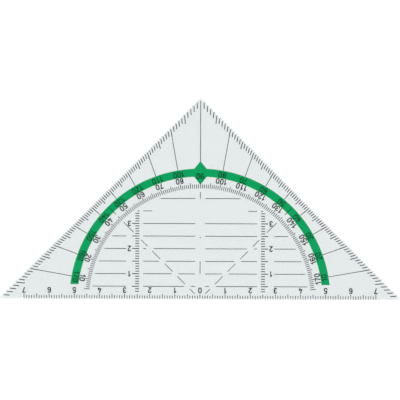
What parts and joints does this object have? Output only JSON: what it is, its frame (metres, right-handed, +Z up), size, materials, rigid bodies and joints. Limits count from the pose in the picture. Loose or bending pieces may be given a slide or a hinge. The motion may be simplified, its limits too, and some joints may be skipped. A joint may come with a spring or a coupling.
{
  "type": "geometry set square",
  "caption": "Clear right-angled geometry set square with a millimetre scale on its long edge, degree scales on its short edges and a green protractor band.",
  "frame": {"origin": "the zero mark: the middle of the hypotenuse, on the underside, which lies on the paper", "axes": "+X along the hypotenuse, +Y from the hypotenuse to the right-angled corner, +Z up through the plate from the underside to the upper face"},
  "size_m": [0.1586, 0.0798, 0.002],
  "materials": {
    "clear_plastic": "clear moulded plastic, polished",
    "green_ink": "green ink, filled flush",
    "black_ink": "black ink, filled flush"
  },
  "bodies": {
    "root": {"plate": "clear_plastic", "green_band": "green_ink", "base_scale": "black_ink", "edge_scale_left": "black_ink", "edge_scale_right": "black_ink", "ten_degree_lines_left": "black_ink", "ten_degree_lines_right": "black_ink", "right_angle_line": "black_ink", "inner_degree_scale": "black_ink", "parallel_lines_left": "black_ink", "parallel_lines_right": "black_ink", "upright_scale_left": "black_ink", "upright_scale_right": "black_ink", "diagonal_lines_left": "black_ink", "diagonal_lines_right": "black_ink", "centre_line": "black_ink"}
  },
  "joints": []
}
